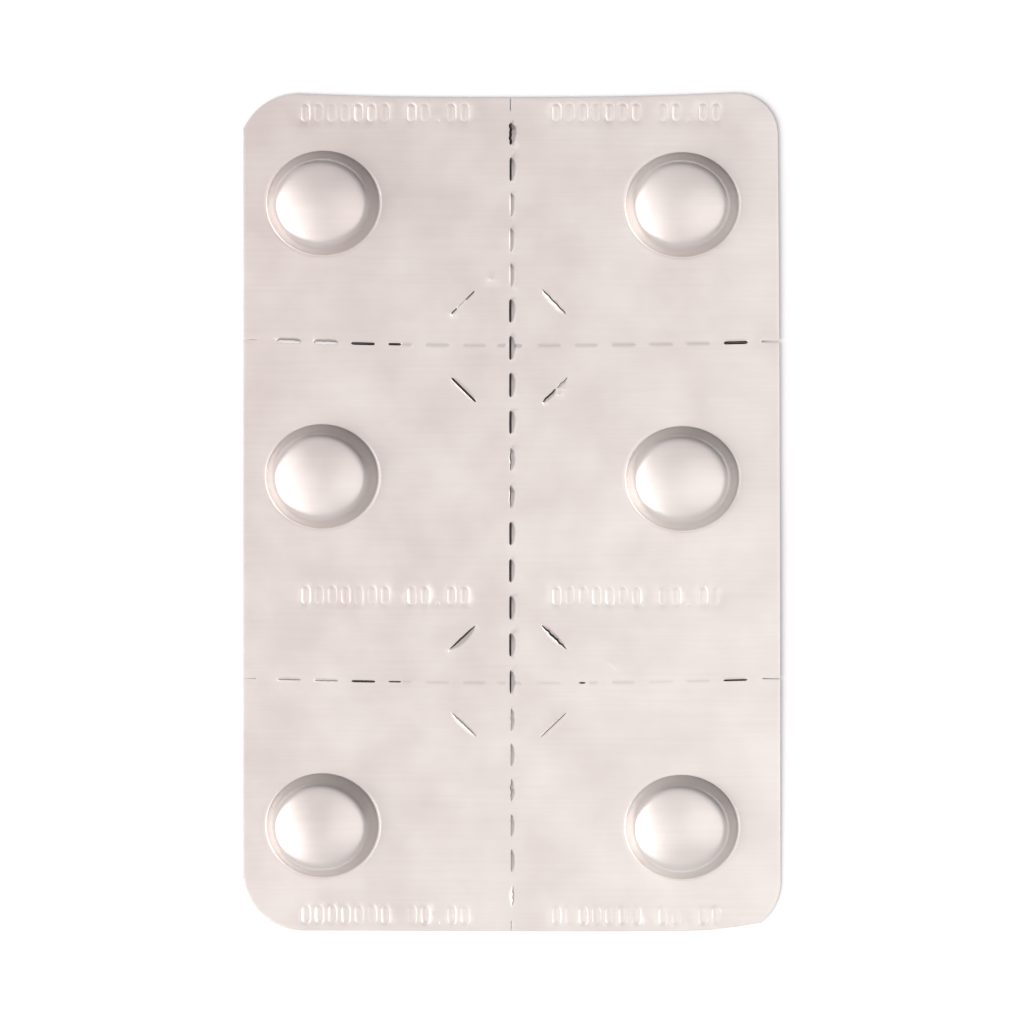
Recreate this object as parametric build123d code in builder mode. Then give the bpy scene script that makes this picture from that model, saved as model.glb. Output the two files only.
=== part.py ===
from build123d import *
import math
import os

# Aluminium pill blister pack: a cold-formed foil card with six round tablet
# pockets, sealed to a flat lidding foil. The card is cut into six units by
# rows of perforation knives, with four short peel slits round each crossing,
# and each unit carries a row of debossed placeholder zeros.
#
# Millimetres. X runs across the card, Y along it, +Z out of the pocket side.
# The flat lidding foil lies on Z = 0.

os.makedirs("parts", exist_ok=True)

# ---- card ----
CARD_W = 60.0             # across
CARD_L = 93.5             # along
CARD_T = 0.20             # forming laminate and lidding foil sealed together
CORNER_R = 6.0            # die-cut corners

# ---- tablet pockets ----
POCKET_D = 12.8           # over the fillet where the dome meets the card
POCKET_H = 3.5            # crown of the dome above the card's face
WALL_DRAFT = 20.0         # degrees off upright
FOOT_R = 0.40             # fillet at the foot of the dome
SHOULDER_R = 1.30         # round between the wall and the crown
CROWN_RISE = 0.45         # bulge of the crown over its own rim
LEFT_MARGIN = 8.85        # card's edge to the middle of the left column
RIGHT_MARGIN = 11.0       # the formed pattern sits a little left of the punched card
TOP_MARGIN = 12.1         # card's edge to the middle of the top row
BOTTOM_MARGIN = 11.75
MIDDLE_LIFT = 4.1         # middle row above the card's middle

# ---- perforation ----
KNIFE_W = 0.28            # width a knife cut stands open
END_UNIT_L = 27.85        # card's end to the nearer cross line
TOOTH_PITCH = 4.2         # aimed-for pitch of the cuts
TOOTH_SHARE = 0.655       # cut length as a share of the pitch
PEEL_LEN = 4.0            # the diagonal peel slits
PEEL_W = 0.32
PEEL_OFFSET = 4.95        # from a crossing to the middle of a slit, each way
PEEL_SHIFT = -0.28        # the four slits stand slightly left of the crossing

# ---- debossed placeholder rows ----
CODE_GROUPS = (7, 2, 2)   # zeros in each group: a gap after the first, a dot after the second
CODE_PITCH = 1.49         # character pitch
CODE_W = 1.17             # character width
CODE_H = 2.25             # character height
CODE_STROKE = 0.30
CODE_DEPTH = 0.08
CODE_LEFT_SHIFT = 0.72    # row's middle from the middle of its unit, across the card
CODE_RIGHT_SHIFT = -1.12
CODE_TOP_MARGIN = 1.95    # card's end to the middle of the top and bottom rows
CODE_BOTTOM_MARGIN = 1.70
CODE_DROP = 13.3          # middle pocket row down to its number row

pocket_x = [LEFT_MARGIN - CARD_W / 2, CARD_W / 2 - RIGHT_MARGIN]
pocket_y = [CARD_L / 2 - TOP_MARGIN, MIDDLE_LIFT, BOTTOM_MARGIN - CARD_L / 2]
cross_y = [CARD_L / 2 - END_UNIT_L, END_UNIT_L - CARD_L / 2]
code_x = [CODE_LEFT_SHIFT - CARD_W / 4, CARD_W / 4 + CODE_RIGHT_SHIFT]
code_y = [CARD_L / 2 - CODE_TOP_MARGIN, MIDDLE_LIFT - CODE_DROP, CODE_BOTTOM_MARGIN - CARD_L / 2]


def cuts_between(start, end):
    """Middles and length of the knife cuts from start to end, one on each end."""
    count = max(1, round(abs(end - start) / TOOTH_PITCH))
    pitch = (end - start) / count
    return [start + i * pitch for i in range(count + 1)], abs(pitch) * TOOTH_SHARE


# the pocket's half section, from its axis out to a short skirt lying in the card
foot_x = POCKET_D / 2 - FOOT_R * math.tan(math.radians(90 - WALL_DRAFT) / 2)
wall_h = POCKET_H - CROWN_RISE
rim_x = foot_x - wall_h * math.tan(math.radians(WALL_DRAFT))
crown_z = CARD_T + POCKET_H
rim_z = CARD_T + wall_h

with BuildPart() as dome:
    with BuildSketch(Plane.XZ) as half:
        with BuildLine():
            Line((0, 0), (POCKET_D / 2 + 0.5, 0))
            Line((POCKET_D / 2 + 0.5, 0), (POCKET_D / 2 + 0.5, CARD_T))
            Line((POCKET_D / 2 + 0.5, CARD_T), (foot_x, CARD_T))
            Line((foot_x, CARD_T), (rim_x, rim_z))
            RadiusArc(
                (rim_x, rim_z),
                (0, crown_z),
                -(rim_x ** 2 + CROWN_RISE ** 2) / (2 * CROWN_RISE),
            )
            Line((0, crown_z), (0, 0))
        make_face()
        foot = half.vertices().filter_by(lambda v: abs(v.X - foot_x) < 1e-4 and v.Z > 0)
        fillet(foot, FOOT_R)
        shoulder = half.vertices().filter_by(lambda v: abs(v.X - rim_x) < 1e-4)
        fillet(shoulder, SHOULDER_R)
    revolve(axis=Axis.Z)

# one placeholder character: a tall ring struck into the face
with BuildSketch() as zero:
    SlotOverall(CODE_H, CODE_W, rotation=90)
    SlotOverall(CODE_H - 2 * CODE_STROKE, CODE_W - 2 * CODE_STROKE, rotation=90, mode=Mode.SUBTRACT)

# a whole row of them, centred on the origin
slots_in_row = sum(CODE_GROUPS) + 2
with BuildSketch() as code_row:
    place = 0
    for group, count in enumerate(CODE_GROUPS):
        for _ in range(count):
            with Locations(((place - (slots_in_row - 1) / 2) * CODE_PITCH, 0)):
                add(zero.sketch)
            place += 1
        if group == 1:
            with Locations(((place - (slots_in_row - 1) / 2) * CODE_PITCH, -CODE_H / 2 + CODE_STROKE)):
                Circle(CODE_STROKE * 0.75)
        place += 1

with BuildPart() as blister_pack:
    # the die-cut card
    with BuildSketch():
        RectangleRounded(CARD_W, CARD_L, CORNER_R)
    extrude(amount=CARD_T)

    # six pockets with their tablets sealed inside
    with Locations([(x, y) for x in pocket_x for y in pocket_y]):
        add(dome.part)

    # the long perforation, with a cut on each crossing and on each edge
    runs = [
        cuts_between(cross_y[0], CARD_L / 2),
        cuts_between(cross_y[0], cross_y[1]),
        cuts_between(cross_y[1], -CARD_L / 2),
    ]
    with BuildSketch():
        for run, (middles, length) in enumerate(runs):
            keep = middles if run == 1 else middles[1:]
            with Locations([(0, y) for y in keep]):
                SlotOverall(length, KNIFE_W, rotation=90)

        # the two cross lines, spaced out from the middle cut to both edges
        per_side = int(CARD_W / 2 / TOOTH_PITCH)
        across = [i * TOOTH_PITCH for i in range(-per_side, per_side + 1)]
        with Locations([(x, y) for x in across for y in cross_y]):
            SlotOverall(TOOTH_PITCH * TOOTH_SHARE, KNIFE_W)

        # four peel slits round each crossing, set as a diamond
        for y in cross_y:
            for sx in (-1, 1):
                for sy in (-1, 1):
                    with Locations((PEEL_SHIFT + sx * PEEL_OFFSET, y + sy * PEEL_OFFSET)):
                        SlotOverall(PEEL_LEN, PEEL_W, rotation=-45 * sx * sy)
    extrude(amount=CARD_T, mode=Mode.SUBTRACT)

    # placeholder rows struck into the pocket side
    with BuildSketch(Plane.XY.offset(CARD_T)):
        with Locations([(x, y) for x in code_x for y in code_y]):
            add(code_row.sketch)
    extrude(amount=-CODE_DEPTH, mode=Mode.SUBTRACT)

blister_pack.part.label = "blister_pack"
export_step(blister_pack.part, "parts/blister_pack.step")
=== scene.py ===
# An aluminium pill blister pack, seen from above on a plain pale floor.
#
# One foil mesh stands for the CAD card. It has the same outline, six pockets, knife cuts and
# struck zeros, and adds what the CAD leaves out: the cuts' raised lips, small dents, the curl
# of the card and the slow waves of the foil. The mesh is two height fields, front and back,
# triangulated flat and joined by walls along the rim and round every cut.
#
# Lengths are millimetres up to the mesh and metres after it. x runs across the card, y along
# it, z up; the card lies centred on the origin with its lowest point on the floor.
import math

import bpy
import numpy as np
from mathutils import Matrix, Vector
from mathutils.geometry import delaunay_2d_cdt
from mathutils.kdtree import KDTree


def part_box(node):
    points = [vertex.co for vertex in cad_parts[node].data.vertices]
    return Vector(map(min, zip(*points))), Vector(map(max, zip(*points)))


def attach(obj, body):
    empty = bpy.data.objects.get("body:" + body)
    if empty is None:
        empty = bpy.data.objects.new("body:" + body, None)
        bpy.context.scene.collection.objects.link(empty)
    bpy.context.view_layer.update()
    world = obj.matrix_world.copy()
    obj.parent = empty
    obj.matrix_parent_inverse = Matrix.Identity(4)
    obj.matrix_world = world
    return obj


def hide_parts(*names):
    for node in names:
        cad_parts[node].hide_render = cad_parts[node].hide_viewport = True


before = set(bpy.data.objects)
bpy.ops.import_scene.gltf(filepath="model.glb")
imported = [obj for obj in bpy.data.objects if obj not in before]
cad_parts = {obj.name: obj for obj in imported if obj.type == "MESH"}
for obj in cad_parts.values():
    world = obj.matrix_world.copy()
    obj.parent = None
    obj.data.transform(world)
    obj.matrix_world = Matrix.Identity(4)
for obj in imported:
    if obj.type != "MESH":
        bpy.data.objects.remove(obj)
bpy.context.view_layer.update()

MM = 0.001
rng = np.random.default_rng(7)          # every irregularity comes from here, so the draws keep their order
FRONT, BACK, SHADE_BLACK, PALE = range(4)      # the foil's material slots: two faces, the near-black painted shade of a cut's walls, and the pale of a cut

# ------------------------------------------------------------------ sizes, mm
lo, hi = (np.array(corner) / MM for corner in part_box("blister_pack"))
HALF_W, HALF_L = (hi[0] - lo[0]) / 2, (hi[1] - lo[1]) / 2
CARD_T = 0.20               # both foils, sealed together
ARCH = 0.10                 # the card's middle stands this far above its short ends
DROOP = 0.27                # how far the bottom right corner bends down
POCKETS = ((-21.15, 34.72), (19.02, 34.52), (-21.30, 4.14), (19.08, 3.98), (-21.30, -35.02), (19.02, -35.02))
FOOT_RX, FOOT_RY = 6.50, 6.01   # outside of the foot fillet, across and along
GUTTER_R = 6.68             # a faint gutter runs round the foot out to here
WAVE_ROOM = 0.08            # height left for the slow waves
POCKET_H = hi[2] - CARD_T - ARCH - DROOP - WAVE_ROOM

# the knife cuts: one long line down the middle and two lines across
LONG_LINE_X = -0.13
LONG_LINE_Y = (             # middle of the first cut, pitch and number of cuts, for each unit of the long line
    (42.42, 3.95, 6), (18.53, 4.153, 10), (-23.07, 3.955, 6),
)
CROSS_Y = (18.79, -18.97)   # middle of each cross line
CROSS_PITCH = 4.17
CROSS_CUT = 2.75            # length of a cut in a cross line
SEAM_GAP = 0.006            # what stays open of a cut that has closed up again

# the struck code: the same row of zeros in six places
CODE_X = (-14.28, 13.88)
CODE_Y = (44.8, -9.2, -45.05)
CODE_GROUPS = (7, 2, 2)     # zeros in each group; a dot stands between the last two
CODE_PITCH, CODE_W, CODE_H, CODE_STROKE = 1.49, 1.17, 2.25, 0.24
CODE_DEPTH = 0.025
DOT_R = 0.30


# ------------------------------------------------------------------ the card's outline
def arc(cx, cy, r, a0, a1, n):
    """Points on a circle from angle a0 to a1 in degrees."""
    t = np.radians(np.linspace(a0, a1, n))
    return np.column_stack([cx + r * np.cos(t), cy + r * np.sin(t)])


def run(points, step=0.45):
    """A polyline through given points, divided into even short steps."""
    p = np.array(points, float)
    d = np.concatenate([[0], np.cumsum(np.hypot(*np.diff(p, axis=0).T))])
    t = np.linspace(0, d[-1], max(2, int(round(d[-1] / step)) + 1))
    return np.column_stack([np.interp(t, d, p[:, 0]), np.interp(t, d, p[:, 1])])


def left_edge(y):
    return -30.17 + 0.0018 * y


def right_edge(y):
    """The right edge leans in towards the top."""
    return 30.09 - 0.12 * np.clip((y + 40) / 40, 0, 1) - 0.30 * np.clip((y + 10) / 53, 0, 1) ** 2


def top_edge(x):
    """The top edge dips between its corners."""
    return 46.45 + 0.47 * np.abs(x / 24.5) ** 2.4


def bow(x, line):
    """Each cross line dips in the middle as the top edge does."""
    return np.where(x < 0, (0.67, 0.43)[line], (0.49, 0.60)[line]) * (x / 30) ** 2


def notch(x, y, along, depth, width):
    """A knife cut that runs out over the edge, as five points; along points into the card."""
    ax, ay = along
    px, py = -ay * width / 2, ax * width / 2
    tip = 0.12              # length of its point
    return [
        (x + px, y + py),
        (x + px + ax * (depth - tip), y + py + ay * (depth - tip)),
        (x + ax * depth, y + ay * depth),
        (x - px + ax * (depth - tip), y - py + ay * (depth - tip)),
        (x - px, y - py),
    ]


def outline():
    """The cut edge, anticlockwise from the top left corner's lower end. Every line of cuts runs out
    over it in a notch."""
    ends_left = [y + float(bow(-30, line)) for line, y in enumerate(CROSS_Y)]
    ends_right = [y + float(bow(30, line)) for line, y in enumerate(CROSS_Y)]
    # down the left edge
    parts = [run([(left_edge(y), y) for y in (43.25, ends_left[0] + 0.2)])]
    for line, yy in enumerate(ends_left):
        parts.append(np.array(notch(left_edge(yy), yy, (1, 0), 1.55, 0.06)))
        stop = ends_left[1] + 0.2 if line == 0 else -41.0
        parts.append(run([(left_edge(yy), yy - 0.2), (left_edge(stop), stop)]))
    # the bottom left corner, the bottom edge and the bottom right corner, which is bent down
    parts.append(arc(-23.5, -40.17, 6.70, 188, 270, 22))
    parts.append(run([(-23.0, -46.87), (-0.35, -46.82)]))
    parts.append(np.array(notch(-0.05, -46.82, (0, 1), 1.2, 0.08)))
    parts.append(run([(0.25, -46.82), (8, -46.80), (19, -46.72), (22, -46.60), (25.1, -46.22), (27.6, -45.80)]))
    parts.append(arc(23.84, -40.98, 6.27, -49.5, 0, 16))
    # up the right edge
    parts.append(run([(right_edge(y), y) for y in (-40.4, ends_right[1] - 0.2)]))
    for line in (1, 0):
        yy = ends_right[line]
        parts.append(np.array(notch(right_edge(yy), yy, (-1, 0), 2.0, (0.22, 0.14)[line])))
        ys = np.linspace(yy + 0.2, ends_right[0] - 0.2 if line == 1 else 42.4, 8)
        parts.append(run([(right_edge(y), y) for y in ys]))
    # the top right corner, the top edge and the top left corner
    parts.append(arc(25.13, 42.38, 4.52, 4, 88, 18))
    xs = np.linspace(24.8, 0.25, 9)
    parts.append(run([(x, top_edge(x)) for x in xs]))
    parts.append(np.array(notch(-0.15, top_edge(0.0), (0, -1), 1.5, 0.13)))
    xs = np.linspace(-0.4, -23.6, 9)
    parts.append(run([(x, top_edge(x)) for x in xs]))
    parts.append(arc(-24.06, 40.31, 6.59, 90, 154.4, 18))
    # where two parts meet, points that nearly coincide are left out
    p = np.vstack(parts)
    keep = [0]
    for i in range(1, len(p)):
        if np.hypot(*(p[i] - p[keep[-1]])) > 0.06:
            keep.append(i)
    return p[keep]


# ------------------------------------------------------------------ the pocket's half section
def pocket_section():
    """(radius, height) pairs from the crown outward, and the same section as a fine table of radii and
    heights. It is given by its slope in degrees at a few radii, smoothed and then added up."""
    at = np.array([0, 2.2, 3.4, 4.2, 4.6, 4.9, 5.12, 5.40, 5.62, 5.98, 6.14, 6.26, 6.36, 6.42, 6.47, 6.56, 6.68])
    slope = np.array([0, 4.6, 6.8, 9.0, 13, 23, 40, 58, 68, 74, 66, 48, 16, 0, -12, -10, 0.0])
    r = np.linspace(0, GUTTER_R, 620)
    tilt = np.radians(np.interp(r, at, slope))
    soft = np.hanning(21) / np.hanning(21).sum()
    tilt = np.convolve(np.pad(tilt, 10, mode="edge"), soft, "valid")
    tilt = tilt * np.clip(r / 0.3, 0, 1)        # level at the crown's very middle
    drop = np.concatenate([[0], np.cumsum((np.tan(tilt[1:]) + np.tan(tilt[:-1])) / 2 * np.diff(r))])
    z = (drop[-1] - drop) * POCKET_H / drop[-1]
    # rings close together where the section bends, at the crown's shoulder and at the foot
    keep = np.concatenate([
        np.linspace(0, 4.0, 12)[:-1], np.linspace(4.0, 5.7, 18)[:-1], np.linspace(5.7, 6.1, 3)[:-1],
        np.linspace(6.1, GUTTER_R, 14),
    ])
    return np.column_stack([keep, np.interp(keep, r, z)]), r, z


SECTION, FINE_R, FINE_Z = pocket_section()


# ------------------------------------------------------------------ knife cuts
class Cut:
    """One knife cut, a hole through the card.

    x, y, degrees  its middle and direction
    length, gap    its length and how wide it stands open on the front
    left, right    its two lips, each (slope, reach): how steeply and from how far the foil rises to the
                   cut, or falls if the slope is negative
    skew           the hole is a wedge that narrows downward towards the right lip (-1) or the left (1)
    walls          material slots of the left and the right wall
    blunt, taper   how squarely the lips and the opening end; 2 is rounded, 10 nearly square
    ragged         how far the cut wanders from side to side
    """

    def __init__(self, x, y, degrees, length, gap, left=(0, 0.2), right=(0, 0.2), skew=0.0, walls=(SHADE_BLACK, SHADE_BLACK),
                 blunt=2.0, ragged=0.0, taper=10):
        self.x, self.y = x, y
        self.c, self.s = math.cos(math.radians(degrees)), math.sin(math.radians(degrees))
        self.half, self.gap = length / 2, gap
        self.left, self.right, self.skew, self.walls, self.blunt = left, right, skew, walls, blunt
        self.taper = taper
        self.wander = ragged * rng.uniform(-1, 1, 4)

    def place(self, u, v):
        """The card's x, y at u along the cut and v to its left."""
        return self.x + u * self.c - v * self.s, self.y + u * self.s + v * self.c

    def local(self, x, y):
        """u and v of a place on the card."""
        dx, dy = x - self.x, y - self.y
        return dx * self.c + dy * self.s, dy * self.c - dx * self.s

    def mouth(self, u):
        """Half width of the opening at u."""
        t = np.clip(np.abs(u) / self.half, 0, 1)
        return self.gap / 2 * np.sqrt(np.clip(1 - t ** self.taper, 0, 1)) + 0.003

    def sway(self, u):
        """How far a torn cut has wandered to the left at u."""
        t = np.clip(np.abs(u) / self.half, 0, 1)
        a, b, c, d = self.wander
        return (a * np.sin(5 * u + 3 * b) + c * np.sin(9 * u + 4 * d)) * (1 - t ** 4)

    def loop(self, back=False, n=19):
        """The hole's edge, clockwise seen from above, on the front or narrower on the back."""
        u = np.linspace(-self.half, self.half, n)
        w = self.mouth(u)
        if back:
            narrow = np.minimum(w, 0.008 + 0.04 * w)
            mid = self.skew * (w - narrow)
        else:
            narrow, mid = w, 0 * w
        mid = mid + self.sway(u)
        top = [self.place(a, b) for a, b in zip(u, mid + narrow)]
        low = [self.place(a, b) for a, b in zip(u[::-1], (mid - narrow)[::-1])]
        return np.array(top + low)

    def fold(self, u):
        """How much of its reach a lip has at u."""
        t = np.clip(np.abs(u) / (self.half * 1.02), 0, 1)
        return np.clip(1 - t ** self.blunt, 0, 1) ** 0.8

    def rows(self, parts, n=13):
        """Points beside the slit, which carry its lips."""
        pts = []
        u = np.linspace(-self.half * 0.99, self.half * 0.99, n)
        for sign, (slope, reach) in ((1, self.left), (-1, self.right)):
            for part in parts:
                for a in u:
                    off = max(reach * float(self.fold(a)), 0.05) * part + (0.05 if part > 0.95 else 0)
                    pts.append(self.place(a, float(self.sway(a)) + sign * (float(self.mouth(a)) + off)))
        for past in (0.10, 0.28):
            pts += [self.place(self.half + past, 0), self.place(-self.half - past, 0)]
        return np.array(pts)

    def height(self, x, y):
        """How far the lips lift the foil at x, y."""
        u, v = self.local(x, y)
        out = np.zeros_like(x)
        near = (np.abs(u) < self.half * 1.1) & (np.abs(v) < 1.4)
        u, v = u[near], v[near] - self.sway(u[near])
        slope = np.where(v > 0, self.left[0], self.right[0])
        reach = np.where(v > 0, self.left[1], self.right[1])
        inside = reach * self.fold(u) + self.mouth(u) - np.maximum(np.abs(v), self.mouth(u))
        share = np.clip(inside / reach, 0, 1)
        out[near] = slope * reach * share ** 1.15 * (np.abs(u) < self.half * 1.02)
        return out

    def contains(self, x, y):
        u, v = self.local(x, y)
        return (np.abs(u) < self.half) & (np.abs(v - self.sway(u)) < self.mouth(u))


def wobble(size):
    return size * rng.uniform(-1, 1)


def seam(rise, reach, blunt):
    """Lips and walls of a cut that has closed up again: the left lip stays a little higher than the right."""
    return dict(left=(rise, reach), right=(-rise, reach), walls=(PALE, PALE), blunt=blunt)


def long_line():
    """The line down the middle. Each right lip stands up in a half moon; some cuts gape, some have closed."""
    made = []
    place = 0
    for y0, pitch, count in LONG_LINE_Y:
        for i in range(count):
            x, y = LONG_LINE_X + wobble(0.02), y0 - pitch * i
            lip = (0.58 + wobble(0.04), 0.52 + wobble(0.05))
            if place == 0:                      # torn widest, nearest the top edge
                cut = Cut(x, y, 90, 2.45, 0.32, right=(0.80, 0.52), ragged=0.05)
            elif place in (2, 3, 4):            # closed, with pale walls
                cut = Cut(x, y, 90, 2.6, 0.02, right=(0.56, 0.48), left=(0.17, 0.13), walls=(PALE, PALE), blunt=4.0)
            elif place in (9, 10):              # worn, next to the middle pockets
                cut = Cut(x, y, 90, 2.5, 0.13, right=lip, left=(0.18, 0.12), ragged=0.05, taper=2)
            elif place == 18:                   # left lip pushed down
                cut = Cut(x + 0.08, y, 90, 2.5, 0.05, right=(0.60, 0.42), left=(-0.30, 0.12), ragged=0.06)
            elif place == 21:                   # the last one, closed
                cut = Cut(x + 0.20, y, 90, 2.4, 0.02, right=(0.90, 0.17), left=(0.13, 0.38), walls=(PALE, PALE),
                          ragged=0.05)
            elif place == 15:                   # the lower crossing
                cut = Cut(x, y, 90, 2.6, 0.20, right=lip, taper=4)
            elif place >= 16:                   # nearly closed
                cut = Cut(x + 0.05, y, 90, 2.5, 0.045, right=(0.60, 0.46 + wobble(0.05)), ragged=0.03)
            else:
                cut = Cut(x, y, 90, 2.66 + wobble(0.06), 0.255 + wobble(0.02), right=lip)
            made.append(cut)
            place += 1
    return made


def cross_lines():
    """The two lines across. Most cuts have closed up again into a faint seam, a few stand open."""
    made = []
    for line, y in enumerate(CROSS_Y):
        for k in range(-6, 7):
            if k == 0:
                continue
            x = k * CROSS_PITCH + 0.02
            at = (x, y + float(bow(x, line)), math.degrees(math.atan(2 * float(bow(x, line)) / x)), CROSS_CUT)
            closed = seam((0.14, 0.095)[line] + wobble(0.02), 0.24, 16.0)
            if line == 0 and k in (-6, -5):         # open, with the lower wall in the light
                cut = Cut(*at, 0.34, left=(0.42, 0.20), right=(0.03, 0.1), skew=0.85, walls=(SHADE_BLACK, PALE),
                          blunt=6.0, ragged=0.025)
            elif k == -4:
                cut = Cut(*at, (0.30, 0.24)[line], left=(0.08, 0.15), blunt=6.0)
            elif k == -3:                           # open on its left half only
                made.append(Cut(at[0] + 0.72, at[1], at[2], 1.2, SEAM_GAP, **closed))
                cut = Cut(at[0] - 0.62, at[1] + 0.03, at[2], 1.45, (0.26, 0.16)[line], left=(0.08, 0.12), blunt=6.0)
            elif line == 1 and k == 2:              # one short open piece
                made.append(Cut(at[0] + 0.78, at[1], at[2], 1.2, SEAM_GAP, **closed))
                cut = Cut(at[0] - 0.45, at[1], at[2], 0.75, 0.20, left=(0.10, 0.12), taper=2)
            elif k == 6:
                cut = Cut(*at, (0.34, 0.20)[line], left=(0.18, 0.2), blunt=6.0)
            elif line == 1 and k in (-6, -5):       # pushed up on both sides
                cut = Cut(*at, 0.06, left=(0.20, 0.22), right=(0.20, 0.2), blunt=6.0, ragged=0.03)
            else:
                cut = Cut(*at, SEAM_GAP, ragged=0.02, **closed)
            made.append(cut)
        # the half cuts of the crossing, either side of the long line's own cut
        rise = (0.17, 0.08)[line]
        made.append(Cut(-1.14, y, 0, 1.1, SEAM_GAP, **seam(rise, 0.22, 8.0)))
        made.append(Cut(0.74, y - 0.02, -5, 0.95, SEAM_GAP, **seam(1.4 * rise, 0.2, 6.0)))
    return made


def peel_slits():
    """Four slanting slits round each crossing, each as handling has left it."""
    return [
        # the upper crossing: top left (torn in three), top right, bottom left, bottom right (in two)
        Cut(-4.66, 24.40, 44, 1.40, 0.12, left=(0.05, 0.12), right=(0.60, 0.14), blunt=5.0, ragged=0.01),
        Cut(-5.65, 23.43, 44, 1.20, 0.01, left=(0.50, 0.09), right=(0.30, 0.16), walls=(PALE, PALE), blunt=6.0),
        Cut(-6.46, 22.65, 44, 0.90, 0.12, left=(0.05, 0.12), right=(0.60, 0.14), blunt=5.0),
        Cut(4.76, 23.68, -46.0, 3.85, 0.13, left=(0.40, 0.10), right=(0.15, 0.46), blunt=4.0, ragged=0.06),
        Cut(-5.38, 13.84, -44.5, 3.95, 0.25, left=(0.22, 0.32), right=(0.42, 0.10), blunt=3.0),
        Cut(4.20, 13.22, 44.5, 2.10, 0.20, left=(0.05, 0.15), right=(0.70, 0.26), ragged=0.03, blunt=3.0, taper=4),
        Cut(5.62, 14.64, 44.5, 1.70, 0.07, left=(0.40, 0.10), right=(0.70, 0.24), ragged=0.05, blunt=3.0, taper=4),
        # the lower crossing: top left, top right, bottom left, bottom right
        Cut(-5.52, -13.88, 43.0, 3.95, 0.22, left=(0.05, 0.15), right=(0.78, 0.44), blunt=2.0, ragged=0.01, taper=2),
        Cut(4.74, -13.80, -44.0, 4.0, 0.25, left=(0.30, 0.30), right=(0.17, 0.26), blunt=2.5, ragged=0.05, taper=2),
        Cut(-5.32, -23.70, -43.5, 4.0, 0.06, left=(0.55, 0.16), right=(0.14, 0.36), blunt=3.5, ragged=0.02, taper=4),
        Cut(4.70, -23.64, 43.5, 4.0, 0.07, left=(0.60, 0.09), right=(0.16, 0.28), blunt=6.0, ragged=0.02),
    ]


CUTS = long_line() + cross_lines() + peel_slits()


# ------------------------------------------------------------------ struck zeros
def code_places():
    """Middle of every zero and every dot."""
    zeros, dots = [], []
    middle = (sum(CODE_GROUPS) + 1) / 2         # one free place follows each of the first two groups
    for cx in CODE_X:
        for cy in CODE_Y:
            place = 0
            for group, count in enumerate(CODE_GROUPS):
                for _ in range(count):
                    zeros.append((cx + (place - middle) * CODE_PITCH, cy))
                    place += 1
                if group == 1:
                    dots.append((cx + (place - middle) * CODE_PITCH, cy - CODE_H / 2 + CODE_STROKE))
                place += 1
    return zeros, dots


ZEROS, DOTS = code_places()
ZERO_HIT = rng.uniform(0.55, 1.15, len(ZEROS))      # how deeply each type was struck
ZERO_LEAN = rng.uniform(-0.35, 0.35, (len(ZEROS), 2))       # and how unevenly, across and along
RING_R = (CODE_W - CODE_STROKE) / 2                 # a zero's stroke follows two half circles of this radius
RING_HALF = (CODE_H - CODE_W) / 2                   # and the straights between them, half their length


def ring_distance(dx, dy):
    """Distance from the middle line of a zero's stroke."""
    yy = np.abs(dy) - RING_HALF
    return np.abs(np.hypot(dx, np.maximum(yy, 0)) - RING_R)


def ring_loop(x, y, off):
    """Points round a zero, off outside the middle line of its stroke."""
    r = RING_R + off
    t = np.radians(np.linspace(0, 180, 9))
    top = np.column_stack([x + r * np.cos(t), y + RING_HALF + r * np.sin(t)])
    low = np.column_stack([x - r * np.cos(t), y - RING_HALF - r * np.sin(t)])
    side = np.linspace(RING_HALF, -RING_HALF, 6)[1:-1]
    left = np.column_stack([np.full(4, x - r), y + side])
    right = np.column_stack([np.full(4, x + r), y - side])
    return np.vstack([top, left, low, right])


# ------------------------------------------------------------------ the foil's height
WAVES = [   # waves per mm, direction, phase, height, for each of ten wavelengths
    (rng.uniform(0.7, 1.3) / wl, rng.uniform(0, math.tau), rng.uniform(0, math.tau), amp * rng.uniform(0.6, 1.2))
    for wl, amp in [(46, 0.030), (38, 0.026), (27, 0.015), (19, 0.008), (15, 0.006), (11, 0.0032), (9, 0.0024),
                    (7.5, 0.0016), (6, 0.0012), (5, 0.0009)]
]
DENTS = [   # x, y, radius, height: small marks left by handling
    (-2.25, 26.15, 0.38, 0.055), (-6.55, 22.25, 0.28, 0.065), (3.70, 12.42, 0.22, 0.050), (7.5, 16.0, 0.40, 0.024),
    (5.34, 13.28, 0.13, 0.030), (5.86, 13.90, 0.15, 0.030),
    (-2.6, 8.4, 0.40, -0.014), (-29.2, -36.9, 0.5, -0.012), (-0.30, 18.95, 0.14, 0.022),
    (-6.95, -15.35, 0.18, 0.030), (9.6, 10.3, 0.6, 0.014), (-12.5, -8.0, 0.8, 0.012), (24.5, -11.5, 0.7, 0.014),
    (-26.5, 14.5, 0.6, -0.012), (7.8, 41.0, 0.6, 0.012),
]
DENTS += [(-0.10, y - 1.42, 0.10, 0.016) for y in (22.65, 18.53, 14.37, 10.22, -2.25, -6.4)]   # ends of open cuts
CRESCENT = (10.6, -17.9, 1.35, 0.030)   # x, y, radius, height of a fingernail mark


def curl(x, y):
    """The card's own shape: a long low arch, with one corner bent down to the floor."""
    d = np.clip((x * 0.80 - y * 0.60 - 30.0) / 19.0, 0, None)
    return ARCH * (1 - (y / 47.5) ** 2) - DROOP * d ** 2


def slow(x, y):
    """The curl with the foil's slow waves."""
    z = curl(x, y)
    for f, angle, phase, amp in WAVES:
        z = z + amp * np.sin(math.tau * f * (x * math.cos(angle) + y * math.sin(angle)) + phase)
    return z


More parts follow.
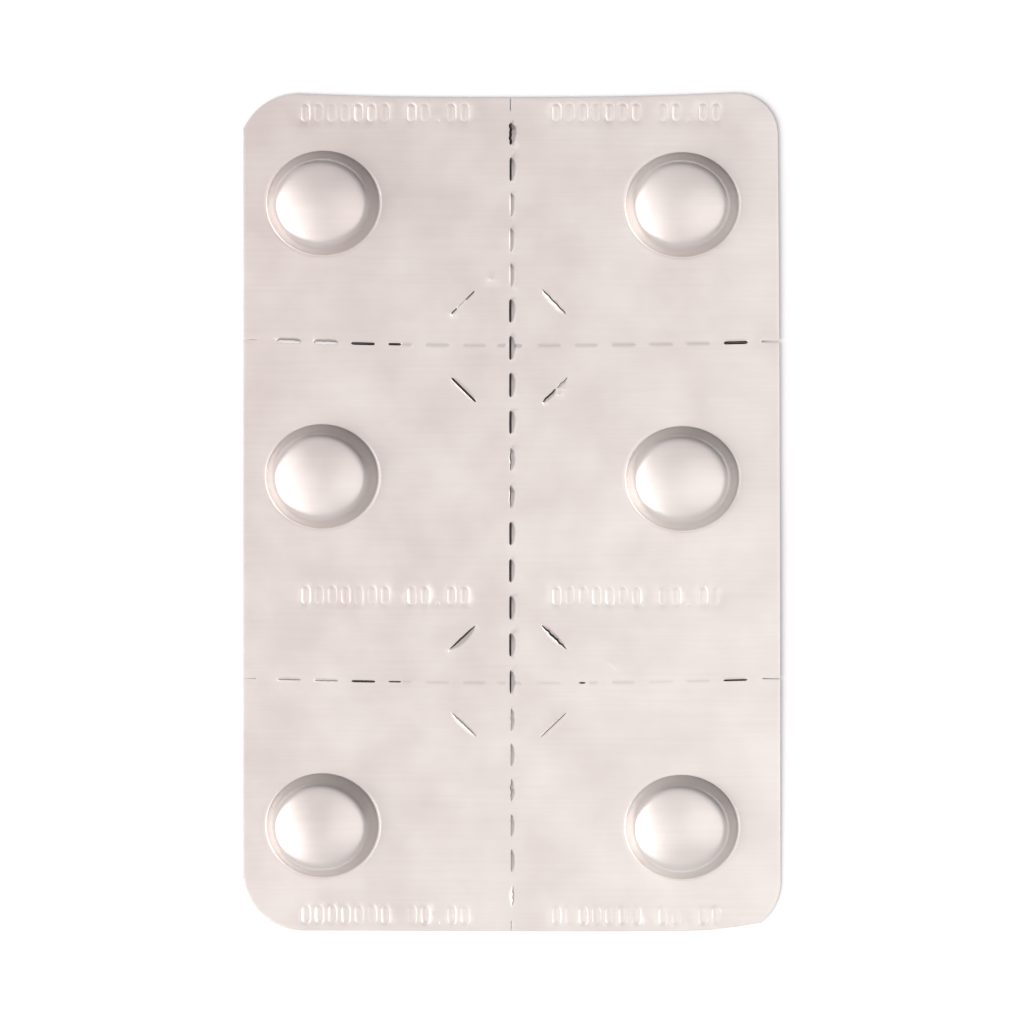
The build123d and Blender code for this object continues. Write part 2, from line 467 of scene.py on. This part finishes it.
def pockets(x, y):
    """The six domes, each with a faint gutter round its foot."""
    z = np.zeros_like(x)
    for px, py in POCKETS:
        r = np.hypot(x - px, (y - py) * FOOT_RX / FOOT_RY)
        rise = np.where(r < GUTTER_R, np.interp(r, FINE_R, FINE_Z), 0)
        north = np.clip((y - py) / np.maximum(r, 0.1), 0, 1)      # the gutter fades out there
        z += np.where(rise < 0, rise * np.clip(1.25 - 1.4 * north, 0, 1), rise)
    return z


def strokes(x, y):
    """The struck zeros and dots, sunk into the front."""
    z = np.zeros_like(x)
    for (zx, zy), hit, lean in zip(ZEROS, ZERO_HIT, ZERO_LEAN):
        near = (np.abs(x - zx) < 1.0) & (np.abs(y - zy) < 1.6)
        dx, dy = x[near] - zx, y[near] - zy
        d = ring_distance(dx, dy) / (CODE_STROKE / 2 + 0.06)       # the type's soft shoulder is 0.06 wide
        force = np.clip(hit + lean[0] * dx / RING_R + lean[1] * dy, 0.15, 1.4)
        z[near] -= CODE_DEPTH * force * np.clip(1 - d ** 2, 0, 1) ** 1.5
    for dot_x, dot_y in DOTS:
        d = np.hypot(x - dot_x, y - dot_y) / DOT_R
        z -= CODE_DEPTH * np.clip(1 - d ** 2, 0, 1) ** 1.5
    return z


def lips(x, y):
    z = np.zeros_like(x)
    for cut in CUTS:
        z += cut.height(x, y)
    return z


def marks(x, y):
    """Dents and the fingernail mark."""
    z = np.zeros_like(x)
    for mx, my, mr, rise in DENTS:
        z += rise * np.exp(-((x - mx) ** 2 + (y - my) ** 2) / mr ** 2)
    mx, my, mr, rise = CRESCENT
    away = np.hypot(x - mx, y - my) - mr
    angle = np.arctan2(y - my, x - mx)
    z += rise * np.exp(-(away / 0.30) ** 2) * np.clip(np.cos(angle - 0.75), 0, 1) ** 2
    return z


def edge_roll(away):
    """The die turns the card's rim down a little; away is the distance from the cut edge."""
    return -0.010 * np.clip(1 - away / 0.20, 0, 1) ** 2


# ------------------------------------------------------------------ mesh
def inside_outline(x, y, poly):
    """Which of the points lie inside a closed polygon."""
    inside = np.zeros(len(x), bool)
    px, py = poly[:, 0], poly[:, 1]
    qx, qy = np.roll(px, -1), np.roll(py, -1)
    for ax, ay, bx, by in zip(px, py, qx, qy):
        if ay != by:
            inside ^= ((ay > y) != (by > y)) & (x < (bx - ax) * (y - ay) / (by - ay) + ax)
    return inside


def point_tree(points):
    tree = KDTree(len(points))
    for i, p in enumerate(points):
        tree.insert((p[0], p[1], 0), i)
    tree.balance()
    return tree


def edge_distance(x, y, poly, reach=3.0):
    """Distance to the outline near it, and reach for the rest of the card."""
    tree = point_tree(poly)
    out = np.full(len(x), reach)
    outer = np.minimum(HALF_W - np.abs(x), HALF_L - np.abs(y)) < 6
    n = len(poly)
    for k in np.nonzero(outer)[0]:
        _, i, d = tree.find((x[k], y[k], 0))
        if d > reach:
            continue
        best = d
        for j in (i - 1, i):
            a, b = poly[j % n], poly[(j + 1) % n]
            ab = b - a
            t = np.clip(np.dot((x[k] - a[0], y[k] - a[1]), ab) / np.dot(ab, ab), 0, 1)
            best = min(best, math.hypot(x[k] - a[0] - t * ab[0], y[k] - a[1] - t * ab[1]))
        out[k] = best
    return out


def single(points):
    """The points as the triangulator holds them, in single precision, so that both agree what is inside."""
    return points.astype(np.float32).astype(float)


def hex_grid(step, jitter):
    """Points over the whole card in a slightly shaken honeycomb, so that no row of edges catches the light."""
    rows = int(2 * HALF_L / (step * 0.866)) + 2
    cols = int(2 * HALF_W / step) + 2
    pts = []
    for j in range(rows):
        y = -HALF_L - 0.3 + j * step * 0.866
        x = -HALF_W - 0.3 + (np.arange(cols) + 0.5 * (j % 2)) * step
        pts.append(np.column_stack([x, np.full(cols, y)]))
    p = np.vstack(pts)
    return p + rng.uniform(-jitter, jitter, p.shape)


def thin(points, keepers, gap):
    """Those points that lie at least gap from every keeper."""
    tree = point_tree(keepers)
    ok = [tree.find((p[0], p[1], 0))[2] >= gap for p in points]
    return points[np.array(ok, bool)]


def build_layer(rim, loops, free, chains):
    """Triangles over the card between its rim and the slits. free are loose points, chains closed loops of
    points to follow. Gives the points, the triangles, and where each point handed in has ended up."""
    pts = [rim]
    edges = [(i, (i + 1) % len(rim)) for i in range(len(rim))]
    start = len(rim)
    for loop in list(loops) + list(chains):
        n = len(loop)
        edges += [(start + i, start + (i + 1) % n) for i in range(n)]
        pts.append(loop)
        start += n
    pts.append(free)
    p = np.vstack(pts)
    verts, _, faces, origin, _, _ = delaunay_2d_cdt(
        [Vector((float(a), float(b))) for a, b in p], edges, [], 0, 1e-5, True
    )
    xy = np.array([(v[0], v[1]) for v in verts])
    tri = np.array([f for f in faces if len(f) == 3])
    # leave out what lies outside the rim or in a slit
    centre = xy[tri].mean(axis=1)
    keep = inside_outline(centre[:, 0], centre[:, 1], rim)
    for cut, loop in zip(CUTS, loops):
        near = keep & (np.hypot(centre[:, 0] - cut.x, centre[:, 1] - cut.y) < 3)
        idx = np.nonzero(near)[0]
        keep[idx[inside_outline(centre[idx, 0], centre[idx, 1], loop)]] = False
    tri = tri[keep]
    # turn every triangle to face up
    a, b, c = xy[tri[:, 0]], xy[tri[:, 1]], xy[tri[:, 2]]
    area = (b[:, 0] - a[:, 0]) * (c[:, 1] - a[:, 1]) - (b[:, 1] - a[:, 1]) * (c[:, 0] - a[:, 0])
    tri[area < 0] = tri[area < 0][:, ::-1]
    where = np.full(len(p), -1)
    for out_index, sources in enumerate(origin):
        for s in sources:
            where[s] = out_index
    return xy, tri, where


def rim_wall(a, b):
    """Notches in the rim are knife cuts, walled in the near black of painted shade; the rest is the die's shear."""
    x, y = np.abs(a + b) / 2
    corner = x > 20 and y > 36
    return SHADE_BLACK if not corner and x < HALF_W - 0.45 and y < HALF_L - 0.35 else PALE


def circle(x, y, r, count, squash=1.0, turn=0.0):
    t = np.linspace(0, math.tau, count, endpoint=False) + turn
    return np.column_stack([x + r * np.cos(t), y + r * np.sin(t) * squash])


def outside_cuts(points):
    in_hole = np.zeros(len(points), bool)
    for cut in CUTS:
        in_hole |= cut.contains(points[:, 0], points[:, 1])
    return points[~in_hole]


def fill(rim, fixed, fine, step, jitter, gap):
    """fine, and a honeycomb over the rest of the card that keeps gap from fine and from the fixed points."""
    grid = hex_grid(step, jitter)
    grid = grid[inside_outline(grid[:, 0], grid[:, 1], rim)]
    grid = thin(grid, np.vstack([fixed, fine]), gap)
    return outside_cuts(np.vstack([fine, grid]))


def front_points(rim, loops):
    """The front's loose points, and its chains: rings that follow the zeros and the pockets."""
    detail = [cut.rows((0.5, 1.0, 1.12)) for cut in CUTS]
    # rows just inside the rim, for the rolled edge
    inner = []
    tangent = np.roll(rim, -1, axis=0) - np.roll(rim, 1, axis=0)
    normal = np.column_stack([-tangent[:, 1], tangent[:, 0]]) / np.hypot(*tangent.T)[:, None]
    for off in (0.12, 0.26, 0.45):
        ring = rim + normal * off
        ok = edge_distance(ring[:, 0], ring[:, 1], rim) > off * 0.9
        inner.append(ring[ok & inside_outline(ring[:, 0], ring[:, 1], rim)])
    for x, y in DOTS:
        for r, k in ((0.0, 1), (0.12, 6), (0.22, 8), (0.32, 10)):
            detail.append(circle(x, y, r, k))
    t = np.linspace(-1.0, 2.5, 15)
    for off in (-0.5, -0.3, -0.15, 0.0, 0.15, 0.3, 0.5):
        detail.append(np.column_stack([
            CRESCENT[0] + (CRESCENT[2] + off) * np.cos(t), CRESCENT[1] + (CRESCENT[2] + off) * np.sin(t)]))
    for mx, my, mr, _ in DENTS:
        for r, k in ((0.0, 1), (0.15, 7), (0.3, 9), (0.5, 12)):
            detail.append(circle(mx, my, r * mr * 2, k))
    chains = []
    for x, y in ZEROS:
        for off in (-0.18, -0.09, 0.0, 0.09, 0.18):
            chains.append(ring_loop(x, y, off))
    for px, py in POCKETS:
        for r in list(SECTION[:, 0]) + [GUTTER_R + 0.3]:
            if r < 0.05:
                detail.append(np.array([(px, py)]))
                continue
            if r > 3.7:     # the shoulder and wall have the same points all the way down
                chains.append(circle(px, py, r, 96, FOOT_RY / FOOT_RX))
            else:
                chains.append(circle(px, py, r, int(max(10, round(math.tau * r / 0.36))), FOOT_RY / FOOT_RX, r))
    fixed = np.vstack([rim] + loops + chains)
    fine = thin(np.vstack(detail + inner), fixed, 0.05)
    return fill(rim, fixed, fine, 0.85, 0.12, 0.42), chains


def back_points(rim, loops):
    """The flat back's loose points, fewer than the front's."""
    fixed = np.vstack([rim] + loops)
    fine = thin(np.vstack([cut.rows((0.6, 1.1), 7) for cut in CUTS]), fixed, 0.12)
    return fill(rim, fixed, fine, 1.5, 0.1, 0.7)


def heights(xy, rim, front):
    x, y = xy[:, 0], xy[:, 1]
    z = slow(x, y) + lips(x, y) + edge_roll(edge_distance(x, y, rim)) * (1.0 if front else 0.3)
    if front:
        z = z + CARD_T + pockets(x, y) + strokes(x, y) + marks(x, y)
    return z


def build_foil():
    rim = single(outline())
    loops = [single(cut.loop()) for cut in CUTS]
    back_loops = [single(cut.loop(back=True)) for cut in CUTS]
    free, chains = front_points(rim, loops)
    fxy, ftri, fwhere = build_layer(rim, loops, free, chains)
    bxy, btri, bwhere = build_layer(rim, back_loops, back_points(rim, back_loops), [])

    fz, bz = heights(fxy, rim, True), heights(bxy, rim, False)
    floor = bz.min()                            # the card rests on its lowest point
    fz, bz = fz - floor, bz - floor
    verts = np.vstack([np.column_stack([fxy, fz]), np.column_stack([bxy, bz])])
    nf = len(fxy)
    faces = [tuple(t) for t in ftri] + [tuple(t[::-1] + nf) for t in btri]
    kinds = [FRONT] * len(ftri) + [BACK] * len(btri)
    # walls, a quad between each two neighbours of the rim and of every slit's edge
    start = 0
    for which, loop in enumerate([rim] + loops):
        k = len(loop)
        for i in range(k):
            a, b = start + i, start + (i + 1) % k
            quad = (bwhere[a] + nf, bwhere[b] + nf, fwhere[b], fwhere[a])
            if len(set(quad)) == 4:
                faces.append(quad)
                if which == 0:
                    kinds.append(rim_wall(loop[i], loop[(i + 1) % k]))
                else:
                    kinds.append(CUTS[which - 1].walls[0 if i < k // 2 else 1])
        start += k
    mesh = bpy.data.meshes.new("foil_card")
    mesh.from_pydata([tuple(v * MM) for v in verts], [], faces)
    mesh.polygons.foreach_set("material_index", kinds)
    mesh.polygons.foreach_set("use_smooth", [k in (FRONT, BACK) for k in kinds])
    mesh.update()
    mesh.validate()
    mesh.set_sharp_from_angle(angle=math.radians(48))
    obj = bpy.data.objects.new("foil_card", mesh)
    bpy.context.scene.collection.objects.link(obj)
    return obj


# ------------------------------------------------------------------ materials
def new_material(name):
    """A material with one Principled shader; gives the material, its node tree and the shader."""
    mat = bpy.data.materials.new(name)
    mat.use_nodes = True
    nt = mat.node_tree
    nt.nodes.clear()
    out = nt.nodes.new("ShaderNodeOutputMaterial")
    bsdf = nt.nodes.new("ShaderNodeBsdfPrincipled")
    nt.links.new(bsdf.outputs["BSDF"], out.inputs["Surface"])
    return mat, nt, bsdf


def node(nt, kind, **values):
    """A new node with some of its sockets or properties set."""
    n = nt.nodes.new(kind)
    for key, value in values.items():
        if key in n.inputs:
            n.inputs[key].default_value = value
        else:
            setattr(n, key, value)
    return n


def noise(nt, coords, scale, stretch=(1, 1, 1), detail=2.0, rough=0.5):
    """Noise of scale times stretch cells per metre along x, y and z."""
    m = node(nt, "ShaderNodeMapping")
    m.inputs["Scale"].default_value = stretch
    nt.links.new(coords, m.inputs["Vector"])
    n = node(nt, "ShaderNodeTexNoise", Scale=scale, Detail=detail, Roughness=rough)
    nt.links.new(m.outputs["Vector"], n.inputs["Vector"])
    return n.outputs["Fac"]


def ramp(nt, fac, stops):
    """A colour that runs smoothly through (position, colour) stops."""
    r = nt.nodes.new("ShaderNodeValToRGB")
    while len(r.color_ramp.elements) < len(stops):
        r.color_ramp.elements.new(0.5)
    for e, (pos, col) in zip(r.color_ramp.elements, stops):
        e.position = pos
        e.color = (*col, 1)
    r.color_ramp.interpolation = "B_SPLINE"
    nt.links.new(fac, r.inputs["Fac"])
    return r.outputs["Color"]


def spread(nt, fac, low, high, a=0.3, b=0.7):
    """A value that runs smoothly from low to high while fac runs from a to b."""
    m = node(nt, "ShaderNodeMapRange", interpolation_type="SMOOTHSTEP")
    m.inputs["From Min"].default_value = a
    m.inputs["From Max"].default_value = b
    m.inputs["To Min"].default_value = low
    m.inputs["To Max"].default_value = high
    nt.links.new(fac, m.inputs["Value"])
    return m.outputs["Result"]


# The foil's two colours. Random patches run between them, and so does painted light: the darker warm one is painted
# shade towards the upper left, the lighter cool one is painted light towards the lower right.
FOIL_WARM_AND_SHADED, FOIL_COOL_AND_LIT = (0.634, 0.570, 0.550), (0.768, 0.734, 0.698)


def foil_material():
    """Rolled aluminium under a thin satin film: fine streaks across the card, soft warm and cool patches, and painted
    light: the colour runs darker and warmer to the upper left, lighter and cooler to the lower right.
    """
    mat, nt, bsdf = new_material("rolled_foil")
    coords = nt.nodes.new("ShaderNodeTexCoord").outputs["Object"]
    streak = noise(nt, coords, 1.0, (70, 2600, 400), 3, 0.6)
    patch = noise(nt, coords, 130, (1, 1, 1), 3, 0.55)
    grain = noise(nt, coords, 4200, (1, 1, 1), 2, 0.5)
    place = node(nt, "ShaderNodeVectorMath", operation="DOT_PRODUCT")
    nt.links.new(coords, place.inputs[0])
    place.inputs[1].default_value = (6.0, -2.5, 0)      # across the card, in ramp position per metre: painted light towards the lower right, painted shade towards the upper left
    patch_and_light_drift = node(nt, "ShaderNodeMath", operation="ADD")
    nt.links.new(place.outputs["Value"], patch_and_light_drift.inputs[0])
    nt.links.new(patch, patch_and_light_drift.inputs[1])
    foil_colour_and_painted_light = ramp(nt, patch_and_light_drift.outputs[0], [(0.20, FOIL_WARM_AND_SHADED), (0.76, FOIL_COOL_AND_LIT)])
    shade = node(nt, "ShaderNodeVectorMath", operation="SCALE")
    nt.links.new(foil_colour_and_painted_light, shade.inputs[0])
    nt.links.new(spread(nt, streak, 0.985, 1.015), shade.inputs["Scale"])
    nt.links.new(shade.outputs[0], bsdf.inputs["Base Color"])
    bsdf.inputs["Metallic"].default_value = 0.50
    nt.links.new(spread(nt, patch, 0.27, 0.32, 0.1, 0.9), bsdf.inputs["Roughness"])
    # fine relief: the roll streaks with some grain on top
    total = node(nt, "ShaderNodeMath", operation="MULTIPLY_ADD")
    nt.links.new(grain, total.inputs[0])
    total.inputs[1].default_value = 0.3
    nt.links.new(streak, total.inputs[2])
    bump = node(nt, "ShaderNodeBump", Strength=1.0, Distance=0.0000017)
    nt.links.new(total.outputs[0], bump.inputs["Height"])
    nt.links.new(bump.outputs["Normal"], bsdf.inputs["Normal"])
    return mat


def lidding_material():
    """The flat foil underneath: duller, with faint roll lines along the card."""
    mat, nt, bsdf = new_material("lidding_foil")
    coords = nt.nodes.new("ShaderNodeTexCoord").outputs["Object"]
    streak = noise(nt, coords, 1.0, (2600, 60, 400), 3, 0.6)
    patch = noise(nt, coords, 150, (1, 1, 1), 3, 0.55)
    nt.links.new(ramp(nt, patch, [(0.35, (0.60, 0.59, 0.58)), (0.65, (0.66, 0.65, 0.64))]), bsdf.inputs["Base Color"])
    bsdf.inputs["Metallic"].default_value = 1.0
    nt.links.new(spread(nt, streak, 0.40, 0.52), bsdf.inputs["Roughness"])
    bump = node(nt, "ShaderNodeBump", Strength=1.0, Distance=0.000003)
    nt.links.new(streak, bump.inputs["Height"])
    nt.links.new(bump.outputs["Normal"], bsdf.inputs["Normal"])
    return mat


def cut_edge_material(name, deep, light, sheen):
    """A wall of a cut or of the rim: film and foil seen edge on, between deep and light. The near-black one is
    painted shade, standing in for the dark gap of a cut.
    """
    mat, nt, bsdf = new_material(name)
    coords = nt.nodes.new("ShaderNodeTexCoord").outputs["Object"]
    layers = noise(nt, coords, 1.0, (900, 900, 9000), 2, 0.5)
    nt.links.new(ramp(nt, layers, [(0.35, deep), (0.65, light)]), bsdf.inputs["Base Color"])
    bsdf.inputs["Specular IOR Level"].default_value = sheen
    bsdf.inputs["Roughness"].default_value = 0.55
    return mat


foil = build_foil()
for material in (
    foil_material(), lidding_material(),
    # near-black walls of the cuts and notches: painted shade for the dark gap
    cut_edge_material("cut_wedge", (0.020, 0.014, 0.016), (0.05, 0.036, 0.036), 0.05),
    cut_edge_material("torn_film", (0.86, 0.84, 0.82), (0.95, 0.93, 0.91), 0.5),
):
    foil.data.materials.append(material)
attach(foil, "root")
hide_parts("blister_pack")

# ------------------------------------------------------------------ floor
bpy.ops.mesh.primitive_plane_add(size=6.0, location=(0, 0, -0.00002))
floor = bpy.context.object
floor.name = "floor"
mat, nt, bsdf = new_material("pale_floor")
bsdf.inputs["Base Color"].default_value = (0.99, 0.99, 0.99, 1)
bsdf.inputs["Roughness"].default_value = 0.9
bsdf.inputs["Emission Color"].default_value = (1, 1, 1, 1)
bsdf.inputs["Emission Strength"].default_value = 0.08
floor.data.materials.append(mat)


# ------------------------------------------------------------------ light
def softbox(name, location, target, size, radiance, colour):
    """A rectangular soft light of a given brightness, facing target."""
    data = bpy.data.lights.new(name, "AREA")
    data.shape = "RECTANGLE"
    data.size, data.size_y = size
    data.color = colour
    data.energy = radiance * math.pi * size[0] * size[1]
    obj = bpy.data.objects.new(name, data)
    obj.location = location
    obj.rotation_euler = (Vector(target) - Vector(location)).to_track_quat("-Z", "Y").to_euler()
    bpy.context.scene.collection.objects.link(obj)


# a broad faint light overhead, a stronger one to its right, and the key from the left
softbox("overhead", (-0.05, 0.03, 1.30), (-0.05, 0.03, 0), (0.72, 1.15), 0.17, (1.0, 0.92, 0.90))
softbox("overhead_right", (0.42, -0.12, 1.26), (0.06, -0.05, 0), (0.58, 0.85), 1.15, (1.0, 0.97, 0.96))
softbox("key_left", (-0.94, -0.26, 1.00), (0, 0, 0), (1.0, 1.45), 3.2, (1.0, 0.965, 0.945))

# the room: pale and warm all round, dark and bluish to the north and north-east
DARK_SIDE = (0.36, 0.93, 0.0)
GLOOM = (0.38, 0.72)        # from where to where the room turns dark, as a share of that direction
ROOM_PALE, ROOM_DARK = 0.62, 0.03
world = bpy.data.worlds.new("studio")
world.use_nodes = True
room = world.node_tree
background = room.nodes["Background"]
toward = node(room, "ShaderNodeVectorMath", operation="DOT_PRODUCT")
room.links.new(room.nodes.new("ShaderNodeTexCoord").outputs["Generated"], toward.inputs[0])
toward.inputs[1].default_value = DARK_SIDE
gloom = spread(room, toward.outputs["Value"], 0.0, 1.0, *GLOOM)
room.links.new(ramp(room, gloom, [(0.0, (1.0, 0.93, 0.91)), (0.9, (0.66, 0.78, 1.0))]), background.inputs["Color"])
room.links.new(spread(room, toward.outputs["Value"], ROOM_PALE, ROOM_DARK, *GLOOM), background.inputs["Strength"])
scene = bpy.context.scene
scene.world = world
scene.view_settings.view_transform = "Standard"
scene.view_settings.look = "None"

# ------------------------------------------------------------------ camera, nearly straight above
AIM = Vector((0, 0.00017, 0))
CAMERA_AT = Vector((0.050, 0.02717, 0.80))
FRAME_WIDTH = 0.1146        # what the frame spans at the card, metres
camera_data = bpy.data.cameras.new("camera")
camera_data.sensor_width = 36
camera_data.lens = 36 * (CAMERA_AT - AIM).length / FRAME_WIDTH
camera_data.clip_start, camera_data.clip_end = 0.01, 20
camera = bpy.data.objects.new("camera", camera_data)
camera.location = CAMERA_AT
forward = (AIM - CAMERA_AT).normalized()
right = forward.cross(Vector((0, 1, 0))).normalized()
up = right.cross(forward)
camera.rotation_euler = Matrix((right, up, -forward)).transposed().to_euler()
scene.collection.objects.link(camera)
scene.camera = camera
